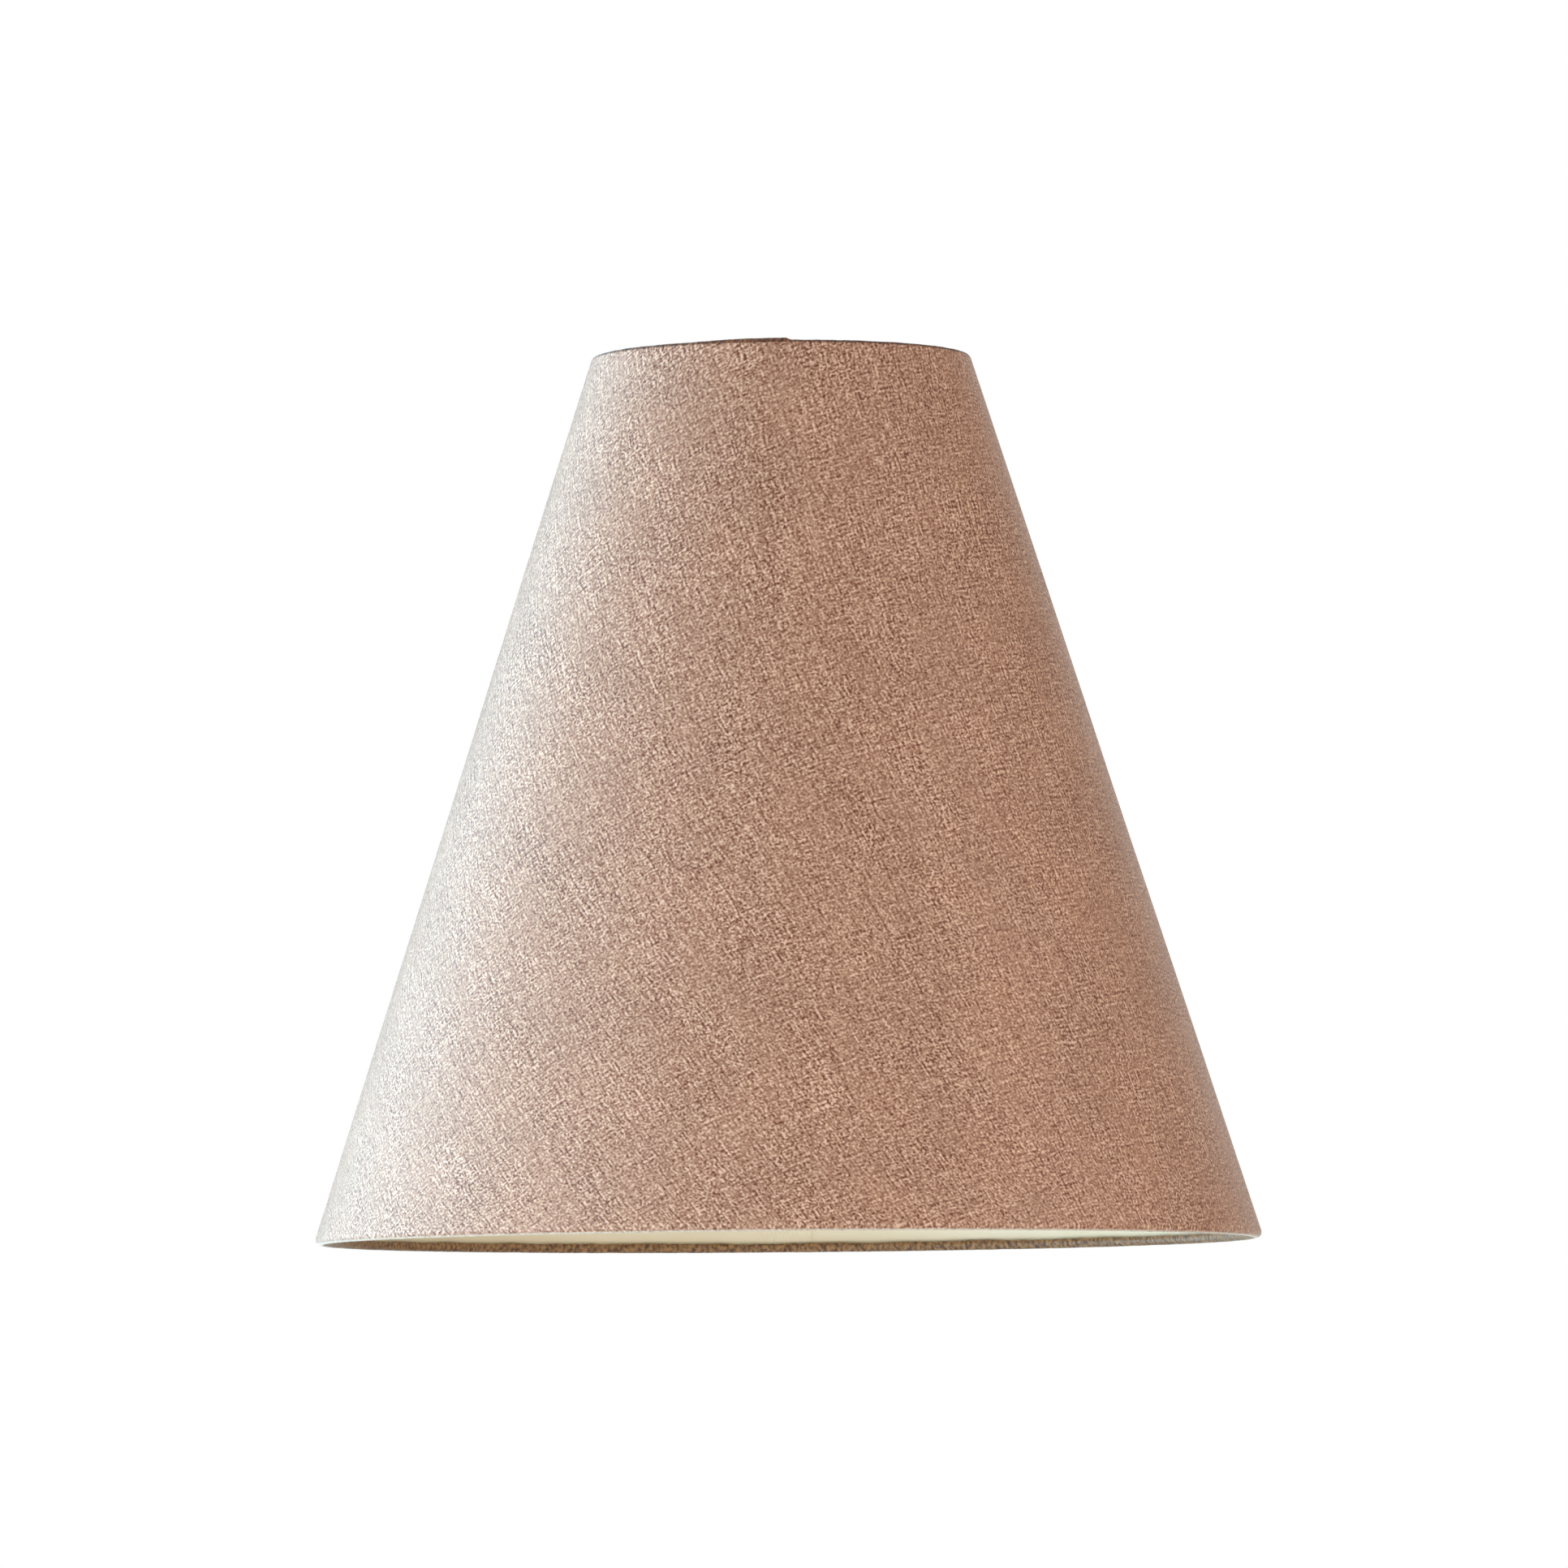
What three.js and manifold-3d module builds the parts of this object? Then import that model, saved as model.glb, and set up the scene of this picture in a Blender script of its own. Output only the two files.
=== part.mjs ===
// A cone-shaped hardback lamp shade with rolled edges and a reversible gimbal fitter.
// Millimetres, +Z up. The origin is the centre of the bottom rim, on the shade's axis.
import * as THREE from 'three';
import { mergeVertices } from 'three/addons/utils/BufferGeometryUtils.js';
import Module from 'manifold-3d';

const wasm = await Module();
wasm.setup();

// The cone: the two rims are where the slanted outer face would meet the top and bottom planes.
const BOTTOM_DIAMETER = 250;
const TOP_DIAMETER = 99;
const HEIGHT = 235;
const FACETS_ROUND = 60;

// The sheets, the hoops, and the clearance left between pieces that touch.
const CLOTH_THICKNESS = 0.5;
const BACKING_THICKNESS = 0.5;
const HOOP_WIRE_DIAMETER = 1.4;
const CLEARANCE = 0.3;

// The closing seam at the back.
const LAP_WIDTH = 10;
const BACKING_SLIT = 0.6;
const TAPE_WIDTH = 14;
const TAPE_THICKNESS = 0.3;

// The gimbal: standard rings of 42 mm and 29 mm for a lampholder.
const UTILITY_HOLE = 42;
const UTILITY_OUTER = 55;
const UTILITY_THICKNESS = 1.5;
const REDUCER_HOLE = 29;
const REDUCER_FLANGE = 46;
const REDUCER_FLANGE_THICKNESS = 1.5;
const REDUCER_COLLAR_DEPTH = 3;
const PIVOT_BELOW_TOP = 8.5;
const GIMBAL_DROP = 23.5;
const ARM_WIRE_DIAMETER = 2.2;
const PIN_DIAMETER = 2.8;
const RIVET_HEAD_DIAMETER = 5;
const RIVET_HEAD_THICKNESS = 1;
const LUG_THICKNESS = 1.1;
const LUG_WIDTH = 8;

// Worked out from the sizes above.
const coneAngle = Math.atan((BOTTOM_DIAMETER - TOP_DIAMETER) / 2 / HEIGHT);
const acrossWall = new THREE.Vector2(Math.cos(coneAngle), Math.sin(coneAngle));
const wallStack = CLOTH_THICKNESS + CLEARANCE + BACKING_THICKNESS + CLEARANCE;
const rollRadius = (wallStack + HOOP_WIRE_DIAMETER + CLEARANCE + CLOTH_THICKNESS) / 2;
const pivotHeight = HEIGHT - PIVOT_BELOW_TOP;
const utilityBottom = pivotHeight - GIMBAL_DROP;
const utilityTop = utilityBottom + UTILITY_THICKNESS;

// The slanted outer face's radius at a height.
function wallRadius(z) {
  return BOTTOM_DIAMETER / 2 - z * Math.tan(coneAngle);
}

// The centre of a rolled edge: inside the wall by the roll's own radius.
function rollCentre(z) {
  return new THREE.Vector2(wallRadius(z) - rollRadius / Math.cos(coneAngle), z);
}

const bottomRoll = rollCentre(rollRadius);
const topRoll = rollCentre(HEIGHT - rollRadius);

// ---- Closed meshes and their cuts and joins ----

function toSolid(geometry) {
  const bare = geometry.clone();
  bare.deleteAttribute('normal');
  bare.deleteAttribute('uv');
  const merged = mergeVertices(bare, 1e-4);
  const index = merged.index.array;
  const corners = [];
  for (let i = 0; i < index.length; i += 3) {
    const [a, b, c] = [index[i], index[i + 1], index[i + 2]];
    if (a !== b && b !== c && c !== a) {
      corners.push(a, b, c);
    }
  }
  const mesh = new wasm.Mesh({
    numProp: 3,
    vertProperties: new Float32Array(merged.attributes.position.array),
    triVerts: new Uint32Array(corners),
  });
  return new wasm.Manifold(mesh);
}

function toGeometry(solid) {
  const mesh = solid.getMesh();
  const geometry = new THREE.BufferGeometry();
  geometry.setAttribute('position', new THREE.BufferAttribute(mesh.vertProperties, 3));
  geometry.setIndex(new THREE.BufferAttribute(mesh.triVerts, 1));
  return geometry;
}

// A closed section in the radius-height plane, turned once round the Z axis.
function turned(section, facets = FACETS_ROUND) {
  const loop = THREE.ShapeUtils.isClockWise(section) ? [...section].reverse() : [...section];
  loop.push(loop[0].clone());
  return new THREE.LatheGeometry(loop, facets).rotateX(Math.PI / 2);
}

function roundSection(centre, radius, sides) {
  const section = [];
  for (let i = 0; i < sides; i += 1) {
    const angle = ((i + 0.5) / sides) * 2 * Math.PI;
    section.push(new THREE.Vector2(Math.cos(angle), Math.sin(angle)).multiplyScalar(radius).add(centre));
  }
  return section;
}

function flatSection(innerRadius, outerRadius, low, high) {
  return [
    new THREE.Vector2(innerRadius, low),
    new THREE.Vector2(outerRadius, low),
    new THREE.Vector2(outerRadius, high),
    new THREE.Vector2(innerRadius, high),
  ];
}

// A strip lying along the wall at the back, between two depths under the outer face.
function stripAtBack(width, shallow, deep, low, high) {
  const slant = (high - low) / Math.cos(coneAngle);
  const middle = (low + high) / 2;
  const depth = (shallow + deep) / 2 / Math.cos(coneAngle);
  return new THREE.BoxGeometry(width, deep - shallow, slant)
    .rotateX(coneAngle)
    .translate(0, wallRadius(middle) - depth, middle);
}

// ---- The cloth cover, its edges rolled round the hoops ----

// The rolled edge's corners at one distance from the roll's centre. Its faces turn in equal steps
// from the wall, round the outside of the hoop, and on over the hoop's inner side.
function rollOutline(centre, radius, turn) {
  const faces = [coneAngle];
  for (let i = 0; i < 7; i += 1) {
    faces.push(turn * (0.1 + 0.2 * i) * Math.PI);
  }
  const corners = [];
  for (let i = 1; i < faces.length; i += 1) {
    const angle = (faces[i] + faces[i - 1]) / 2;
    const reach = radius / Math.cos((faces[i] - faces[i - 1]) / 2);
    corners.push(new THREE.Vector2(Math.cos(angle), Math.sin(angle)).multiplyScalar(reach).add(centre));
  }
  return corners;
}

function coverFace(radius) {
  const bottom = rollOutline(bottomRoll, radius, -1).reverse();
  return [...bottom, ...rollOutline(topRoll, radius, 1)];
}

function fabricCover() {
  const outside = coverFace(rollRadius);
  const inside = coverFace(rollRadius - CLOTH_THICKNESS).reverse();
  const body = toSolid(turned([...outside, ...inside]));
  const lapEnds = 2 * rollRadius;
  const lap = toSolid(stripAtBack(LAP_WIDTH, -0.4, 0.4, lapEnds, HEIGHT - lapEnds));
  const notchLength = 2 * rollRadius;
  const notchX = topRoll.x - rollRadius / 2 - notchLength / 2;
  let cover = body.add(lap);
  for (const side of [-1, 1]) {
    const notch = new THREE.BoxGeometry(notchLength, LUG_WIDTH + 2, 3 * rollRadius);
    cover = cover.subtract(toSolid(notch.translate(side * notchX, 0, HEIGHT - rollRadius)));
  }
  return toGeometry(cover);
}

// ---- The stiff backing sheet and the tape over its butt joint ----

function backingSheet() {
  const outerDepth = rollRadius - CLOTH_THICKNESS - CLEARANCE;
  const innerDepth = outerDepth - BACKING_THICKNESS;
  const section = [
    acrossWall.clone().multiplyScalar(innerDepth).add(bottomRoll),
    acrossWall.clone().multiplyScalar(outerDepth).add(bottomRoll),
    acrossWall.clone().multiplyScalar(outerDepth).add(topRoll),
    acrossWall.clone().multiplyScalar(innerDepth).add(topRoll),
  ];
  const slit = new THREE.BoxGeometry(BACKING_SLIT, BOTTOM_DIAMETER / 2, 2 * HEIGHT);
  slit.translate(0, (BOTTOM_DIAMETER * 3) / 8, HEIGHT / 2);
  return toGeometry(toSolid(turned(section)).subtract(toSolid(slit)));
}

function seamTape() {
  const ends = 3 * rollRadius;
  const shallow = wallStack + 0.4;
  return stripAtBack(TAPE_WIDTH, shallow, shallow + TAPE_THICKNESS, ends, HEIGHT - ends);
}

// ---- The wire hoops inside the rolled edges ----

function wireHoop(roll) {
  const inward = rollRadius - wallStack - HOOP_WIRE_DIAMETER / 2;
  const centre = acrossWall.clone().multiplyScalar(inward).add(roll);
  return turned(roundSection(centre, HOOP_WIRE_DIAMETER / 2, 8));
}

// ---- The pivots: a lug welded inside the top hoop on each side, and a rivet through it ----

const hoopInside = topRoll.x - rollRadius + CLOTH_THICKNESS + CLEARANCE;
const lugFace = hoopInside - CLEARANCE;
const eyeCentreX = lugFace - LUG_THICKNESS - CLEARANCE - ARM_WIRE_DIAMETER / 2;

// A plate with a round lower end, square to X, with the rivet's hole in it.
function pivotLug(side) {
  const half = LUG_WIDTH / 2;
  const outline = new THREE.Shape();
  outline.moveTo(half, 0);
  outline.lineTo(half, PIVOT_BELOW_TOP - rollRadius);
  outline.lineTo(-half, PIVOT_BELOW_TOP - rollRadius);
  outline.lineTo(-half, 0);
  outline.absarc(0, 0, half, Math.PI, 2 * Math.PI);
  const hole = new THREE.Path();
  hole.absarc(0, 0, PIN_DIAMETER / 2 + CLEARANCE, 0, 2 * Math.PI, true);
  outline.holes.push(hole);
  const plate = new THREE.ExtrudeGeometry(outline, {
    depth: LUG_THICKNESS,
    bevelEnabled: false,
    curveSegments: 10,
  });
  plate.rotateX(Math.PI / 2).rotateZ(Math.PI / 2);
  plate.translate(lugFace - LUG_THICKNESS, 0, pivotHeight);
  return side > 0 ? plate : plate.rotateZ(Math.PI);
}

function pivotRivet(side) {
  const head = RIVET_HEAD_DIAMETER / 2;
  const shank = PIN_DIAMETER / 2;
  const outer = lugFace + CLEARANCE;
  const inner = eyeCentreX - ARM_WIRE_DIAMETER / 2 - CLEARANCE;
  const profile = [
    new THREE.Vector2(0, inner - RIVET_HEAD_THICKNESS),
    new THREE.Vector2(head * 0.7, inner - RIVET_HEAD_THICKNESS),
    new THREE.Vector2(head, inner - RIVET_HEAD_THICKNESS / 3),
    new THREE.Vector2(head, inner),
    new THREE.Vector2(shank, inner),
    new THREE.Vector2(shank, outer),
    new THREE.Vector2(head, outer),
    new THREE.Vector2(head, outer + RIVET_HEAD_THICKNESS / 3),
    new THREE.Vector2(head * 0.7, outer + RIVET_HEAD_THICKNESS),
    new THREE.Vector2(0, outer + RIVET_HEAD_THICKNESS),
  ];
  const rivet = new THREE.LatheGeometry(profile, 20).rotateZ(-Math.PI / 2);
  rivet.translate(0, 0, pivotHeight);
  return side > 0 ? rivet : rivet.rotateZ(Math.PI);
}

// ---- The gimbal: two wire arms with eyes, the 42 mm utility ring and its 29 mm reducer ----

// A wire with an eye round the rivet, slanting down and in to a foot on the utility ring.
function gimbalArm(side) {
  const wire = ARM_WIRE_DIAMETER / 2;
  const eyeRadius = PIN_DIAMETER / 2 + CLEARANCE + wire;
  const eye = turned(roundSection(new THREE.Vector2(eyeRadius, 0), wire, 8), 24);
  eye.rotateY(Math.PI / 2).translate(eyeCentreX, 0, pivotHeight);
  const footHeight = utilityTop + CLEARANCE + wire;
  const ringEdge = UTILITY_OUTER / 2;
  const route = new THREE.CatmullRomCurve3([
    new THREE.Vector3(eyeCentreX, 0, pivotHeight - eyeRadius + 0.3),
    new THREE.Vector3(eyeCentreX - 0.9, 0, pivotHeight - eyeRadius - 1.6),
    new THREE.Vector3((eyeCentreX + ringEdge) / 2, 0, (pivotHeight + footHeight) / 2 - 1),
    new THREE.Vector3(ringEdge + 1.4, 0, footHeight + 0.7),
    new THREE.Vector3(ringEdge - 3, 0, footHeight),
  ]);
  const section = new THREE.Shape(roundSection(new THREE.Vector2(0, 0), wire, 8));
  const stem = new THREE.ExtrudeGeometry(section, { steps: 14, extrudePath: route });
  const arm = toGeometry(toSolid(eye).add(toSolid(stem)));
  return side > 0 ? arm : arm.rotateZ(Math.PI);
}

function utilityRing() {
  return turned(flatSection(UTILITY_HOLE / 2, UTILITY_OUTER / 2, utilityBottom, utilityTop), 48);
}

// A flange lying on the utility ring, and a collar that drops through its hole.
function reducerRing() {
  const hole = REDUCER_HOLE / 2;
  const collar = UTILITY_HOLE / 2 - CLEARANCE;
  const flangeLow = utilityTop + CLEARANCE;
  const section = [
    new THREE.Vector2(hole, utilityTop - REDUCER_COLLAR_DEPTH),
    new THREE.Vector2(collar, utilityTop - REDUCER_COLLAR_DEPTH),
    new THREE.Vector2(collar, flangeLow),
    new THREE.Vector2(REDUCER_FLANGE / 2, flangeLow),
    new THREE.Vector2(REDUCER_FLANGE / 2, flangeLow + REDUCER_FLANGE_THICKNESS),
    new THREE.Vector2(hole, flangeLow + REDUCER_FLANGE_THICKNESS),
  ];
  return turned(section, 48);
}

// ---- Materials ----

function finish(color, roughness, metalness = 0) {
  return new THREE.MeshStandardMaterial({ color, roughness, metalness });
}

const linen = () => finish(0xb08d78, 0.95);
const creamBacking = () => finish(0xe4dcc4, 0.6);
const creamTape = () => finish(0xe8e2d0, 0.7);
const hoopWire = () => finish(0xc9c9c4, 0.4, 0.9);
const whiteEnamel = () => finish(0xeeece6, 0.4);
const rivetSteel = () => finish(0xbfc0c0, 0.35, 1);
const whitePlastic = () => finish(0xf2f1ec, 0.5);

// ---- The assembly: the shade stands still, the gimbal turns, the reducer lifts out ----

function piece(name, geometry, material) {
  const mesh = new THREE.Mesh(geometry, material);
  mesh.name = name;
  return mesh;
}

const shade = new THREE.Group();
shade.add(piece('fabric_cover', fabricCover(), linen()));
shade.add(piece('backing_sheet', backingSheet(), creamBacking()));
shade.add(piece('seam_tape', seamTape(), creamTape()));
shade.add(piece('bottom_hoop', wireHoop(bottomRoll), hoopWire()));
shade.add(piece('top_hoop', wireHoop(topRoll), hoopWire()));

const gimbal = new THREE.Group();
gimbal.add(piece('utility_ring', utilityRing(), whiteEnamel()));

const reducer = new THREE.Group();
reducer.add(piece('reducer_ring', reducerRing(), whitePlastic()));

for (const [hand, side] of [['left', -1], ['right', 1]]) {
  shade.add(piece(`pivot_lug_${hand}`, pivotLug(side), whiteEnamel()));
  shade.add(piece(`pivot_rivet_${hand}`, pivotRivet(side), rivetSteel()));
  gimbal.add(piece(`gimbal_arm_${hand}`, gimbalArm(side), whiteEnamel()));
}

const lampShade = new THREE.Group();
lampShade.add(shade, gimbal, reducer);

export default lampShade;
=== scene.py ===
# A hardback linen lamp shade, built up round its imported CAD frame: hoops, backing, cloth, fitter, studio.
import bmesh
import bpy
import math
from mathutils import Matrix, Vector, noise


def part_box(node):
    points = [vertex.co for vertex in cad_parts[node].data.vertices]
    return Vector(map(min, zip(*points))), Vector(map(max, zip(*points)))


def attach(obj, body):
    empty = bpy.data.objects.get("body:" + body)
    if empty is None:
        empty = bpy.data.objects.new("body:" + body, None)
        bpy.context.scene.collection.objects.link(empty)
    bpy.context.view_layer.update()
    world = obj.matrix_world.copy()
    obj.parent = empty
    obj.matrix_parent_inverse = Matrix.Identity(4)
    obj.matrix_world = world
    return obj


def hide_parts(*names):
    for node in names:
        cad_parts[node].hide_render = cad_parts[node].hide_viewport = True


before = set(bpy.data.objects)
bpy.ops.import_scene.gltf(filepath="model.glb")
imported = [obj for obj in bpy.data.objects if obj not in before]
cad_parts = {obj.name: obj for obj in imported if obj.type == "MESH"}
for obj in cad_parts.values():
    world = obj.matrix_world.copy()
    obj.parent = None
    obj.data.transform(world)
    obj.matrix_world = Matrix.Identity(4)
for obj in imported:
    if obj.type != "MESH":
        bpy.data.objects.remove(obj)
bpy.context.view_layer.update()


# ------------------------------------------------------------------------------------------------
# The wire hoops. Each is a length of bright zinc-plated 1.4 mm wire, bent to a circle and
# butt-welded at the back, where a little flash is left. One stiffens each rim of the cone.
# The cone's sizes are set here, because the hoops are what holds it to them.

BOTTOM_RADIUS = 0.125
TOP_RADIUS = 0.0495
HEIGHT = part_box("fabric_cover")[1].z
HOOP_WIRE = 0.0014
CLOTH_THICKNESS = 0.00035
BACKING_THICKNESS = 0.0003
WELD_SWELL = 0.14
WELD_LENGTH = 0.0016
HOOP_POINTS = 240
SHARP_EDGE = math.radians(40)

CONE_SLOPE = (BOTTOM_RADIUS - TOP_RADIUS) / HEIGHT
CONE_ANGLE = math.atan(CONE_SLOPE)
ROLL_RADIUS = (CLOTH_THICKNESS + BACKING_THICKNESS + HOOP_WIRE + CLOTH_THICKNESS) / 2

# The top margin is thicker at a join near the front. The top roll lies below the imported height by
# both of these values, and at the join by the second alone.
JOIN_RISE = 0.00050
TOP_SINK = 0.00045


def wall_radius(height):
    """The radius of the cone's slanted face at a height."""
    return BOTTOM_RADIUS - CONE_SLOPE * height


def roll_centre(height):
    """(radius, height) of a rolled edge's centre, which lies inside that face by its own radius."""
    return wall_radius(height) - ROLL_RADIUS / math.cos(CONE_ANGLE), height


BOTTOM_ROLL = roll_centre(ROLL_RADIUS)
TOP_ROLL = roll_centre(HEIGHT - TOP_SINK - JOIN_RISE - ROLL_RADIUS)


def skin(name, rows, round_closed=False, ends_capped=False):
    """A mesh over rows of points. Each row may close on itself, and the first and last may be capped."""
    points = [point for row in rows for point in row]
    wide = len(rows[0])
    faces = []
    for row in range(len(rows) - 1):
        for column in range(wide if round_closed else wide - 1):
            beside = (column + 1) % wide
            low, high = row * wide, (row + 1) * wide
            faces.append((low + column, low + beside, high + beside, high + column))
    if ends_capped:
        faces.append(tuple(reversed(range(wide))))
        faces.append(tuple(range(len(points) - wide, len(points))))
    mesh = bpy.data.meshes.new(name)
    mesh.from_pydata(points, [], faces)
    mesh.polygons.foreach_set("use_smooth", [True] * len(mesh.polygons))
    mesh.set_sharp_from_angle(angle=SHARP_EDGE)
    piece = bpy.data.objects.new(name, mesh)
    bpy.context.scene.collection.objects.link(piece)
    return piece


def bent_wire(name, path, radii, closed=False, sides=16):
    """A round wire along a path of points. Its frame is carried along without twist."""
    count = len(path)
    rows = []
    side = None
    for i, point in enumerate(path):
        ahead = path[(i + 1) % count] if closed or i + 1 < count else point
        behind = path[i - 1] if closed or i > 0 else point
        along = (ahead - behind).normalized()
        if side is None:
            side = along.orthogonal().normalized()
        side = (side - along * side.dot(along)).normalized()
        other = along.cross(side)
        ring = []
        for k in range(sides):
            turn = 2 * math.pi * k / sides
            ring.append(point + (side * math.cos(turn) + other * math.sin(turn)) * radii[i])
        rows.append(ring)
    if closed:
        rows.append(rows[0])
        piece = skin(name, rows, round_closed=True)
        weld_doubles(piece)
        return piece
    return skin(name, rows, round_closed=True, ends_capped=True)


def weld_doubles(piece, reach=1e-6):
    """Joins the points that lie on each other, which closes a loop of rows."""
    shape = bmesh.new()
    shape.from_mesh(piece.data)
    bmesh.ops.remove_doubles(shape, verts=shape.verts, dist=reach)
    shape.to_mesh(piece.data)
    shape.free()


class Wiring:
    """The nodes of one material, added and joined in the order that its pattern is worked out."""

    def __init__(self, name):
        self.material = bpy.data.materials.new(name)
        self.material.use_nodes = True
        self.tree = self.material.node_tree
        self.surface = self.tree.nodes["Principled BSDF"]

    def node(self, kind, inputs=None, **settings):
        """A node with its settings and its inputs set."""
        made = self.tree.nodes.new("ShaderNode" + kind)
        for setting, value in settings.items():
            setattr(made, setting, value)
        for socket, value in (inputs or {}).items():
            self.feed(made.inputs[socket], value)
        return made

    def feed(self, socket, value):
        """Joins an output to a socket, or sets the socket to a plain value."""
        if isinstance(value, bpy.types.NodeSocket):
            self.tree.links.new(value, socket)
        else:
            socket.default_value = value

    def maths(self, operation, *values):
        """One step of arithmetic on outputs and plain values."""
        made = self.tree.nodes.new("ShaderNodeMath")
        made.operation = operation
        for socket, value in zip(made.inputs, values):
            self.feed(socket, value)
        return made.outputs[0]

    def blend(self, share, first, second):
        """A colour between two others."""
        made = self.node("Mix", data_type="RGBA")
        self.feed(made.inputs[0], share)
        self.feed(made.inputs[6], first)
        self.feed(made.inputs[7], second)
        return made.outputs[2]

    def grain(self, where, scale, detail=2.0, roughness=0.5):
        """Soft noise from 0 to 1 over a place."""
        made = self.node("TexNoise", {"Scale": scale, "Detail": detail, "Roughness": roughness})
        self.tree.links.new(where, made.inputs["Vector"])
        return made.outputs["Fac"]

    def stretch(self, value, low, high, new_low=0.0, new_high=1.0):
        """Spreads a span of a value over a new span, and stops at its ends."""
        spans = {"From Min": low, "From Max": high, "To Min": new_low, "To Max": new_high}
        made = self.node("MapRange", spans)
        self.tree.links.new(value, made.inputs["Value"])
        return made.outputs["Result"]

    def settle(self, **values):
        """Sets the shader's own plain sockets, such as Roughness or IOR."""
        for socket, value in values.items():
            self.surface.inputs[socket.replace("_", " ")].default_value = value

    def bump(self, height, strength, distance):
        """Raises the surface's shading by a height."""
        made = self.node("Bump", {"Strength": strength, "Distance": distance, "Height": height})
        self.tree.links.new(made.outputs["Normal"], self.surface.inputs["Normal"])


def zinc_wire():
    """Bright zinc over steel: a fine grain, a dull bloom and a few darker spots."""
    w = Wiring("hoop_wire")
    place = w.node("TexCoord").outputs["Object"]
    bloom = w.grain(place, 260.0, detail=3.0)
    spots = w.stretch(w.grain(place, 900.0), 0.62, 0.75)
    colour = w.blend(bloom, (0.52, 0.53, 0.54, 1), (0.72, 0.73, 0.74, 1))
    spotted = w.blend(w.maths("MULTIPLY", spots, 0.5), colour, (0.3, 0.29, 0.28, 1))
    w.feed(w.surface.inputs["Base Color"], spotted)
    w.feed(w.surface.inputs["Roughness"], w.stretch(bloom, 0.3, 0.7, 0.28, 0.5))
    w.settle(Metallic=0.9)
    w.bump(w.grain(place, 2400.0), 0.15, 0.00005)
    return w.material


ZINC = zinc_wire()


def wire_hoop(name, roll):
    """A hoop through its rolled edge's centre, clear of the backing's end, swollen at its weld."""
    radius = roll[0] - BACKING_THICKNESS / 2
    path = []
    radii = []
    for i in range(HOOP_POINTS):
        turn = 2 * math.pi * i / HOOP_POINTS
        path.append(Vector((radius * math.cos(turn), radius * math.sin(turn), roll[1])))
        from_weld = abs(turn - math.pi / 2) * radius
        swell = WELD_SWELL * math.exp(-((from_weld / WELD_LENGTH) ** 2))
        radii.append(HOOP_WIRE / 2 * (1 + swell))
    hoop = bent_wire(name + "_wire", path, radii, closed=True)
    hoop.data.materials.append(ZINC)
    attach(hoop, "shade")
    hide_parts(name)


wire_hoop("bottom_hoop", BOTTOM_ROLL)
wire_hoop("top_hoop", TOP_ROLL)


# ------------------------------------------------------------------------------------------------
# The backing. A flat ring sector of 0.3 mm cream PVC, sticky on its outer side, rolled into a cone
# so that its two straight edges meet at the back. Its inner face is the shade's lining.

SIN_CONE = math.sin(CONE_ANGLE)
COS_CONE = math.cos(CONE_ANGLE)
AROUND = 480
BACKING_ROWS = 24
BACK = math.pi / 2
FRONT = -math.pi / 2
BUTT_GAP = 0.0002
GLUE_LAYER = 0.00002


def on_wall(turn, share, depth):
    """A point under the cone's face, from the bottom roll at share 0 to the top roll at share 1."""
    reach = ROLL_RADIUS - depth
    low = Vector((BOTTOM_ROLL[0] + COS_CONE * reach, BOTTOM_ROLL[1] + SIN_CONE * reach))
    high = Vector((TOP_ROLL[0] + COS_CONE * reach, TOP_ROLL[1] + SIN_CONE * reach))
    radius, height = low.lerp(high, share)
    return Vector((radius * math.cos(turn), radius * math.sin(turn), height))


def sheet_on_wall(name, start, end, columns, shares, shallow, deep):
    """A closed thin sheet on the inside of the wall, between two angles and two depths."""
    rows = []
    outline = [(share, shallow) for share in shares] + [(share, deep) for share in reversed(shares)]
    for i in range(columns + 1):
        turn = start + (end - start) * i / columns
        rows.append([on_wall(turn, share, depth) for share, depth in outline])
    return skin(name, rows, round_closed=True, ends_capped=True)


def cream_pvc():
    """Cream PVC laminate: a fine matt embossing, and a warmer, cloudy cast where it is thicker."""
    w = Wiring("backing")
    place = w.node("TexCoord").outputs["Object"]
    cloud = w.grain(place, 28.0, detail=3.0)
    emboss = w.grain(place, 1700.0, detail=2.0, roughness=0.6)
    tint = w.blend(w.stretch(cloud, 0.35, 0.65), (0.87, 0.76, 0.56, 1), (0.93, 0.83, 0.65, 1))
    raised = w.stretch(emboss, 0.3, 0.75, 0.0, 0.35)
    w.feed(w.surface.inputs["Base Color"], w.blend(raised, tint, (0.92, 0.84, 0.69, 1)))
    w.feed(w.surface.inputs["Roughness"], w.stretch(emboss, 0.3, 0.7, 0.5, 0.64))
    w.bump(emboss, 0.25, 0.0001)
    return w.material


backing = sheet_on_wall(
    "cream_backing",
    BACK + BUTT_GAP / TOP_RADIUS,
    BACK + 2 * math.pi - BUTT_GAP / TOP_RADIUS,
    AROUND,
    [i / BACKING_ROWS for i in range(BACKING_ROWS + 1)],
    CLOTH_THICKNESS + GLUE_LAYER,
    CLOTH_THICKNESS + BACKING_THICKNESS,
)
backing.data.materials.append(cream_pvc())
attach(backing, "shade")
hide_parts("backing_sheet")


# ------------------------------------------------------------------------------------------------
# The seam tape. A strip of thin cream tape pressed over the backing's butt joint from inside, a
# little wavy at its edges where it was smoothed down by hand.

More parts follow.
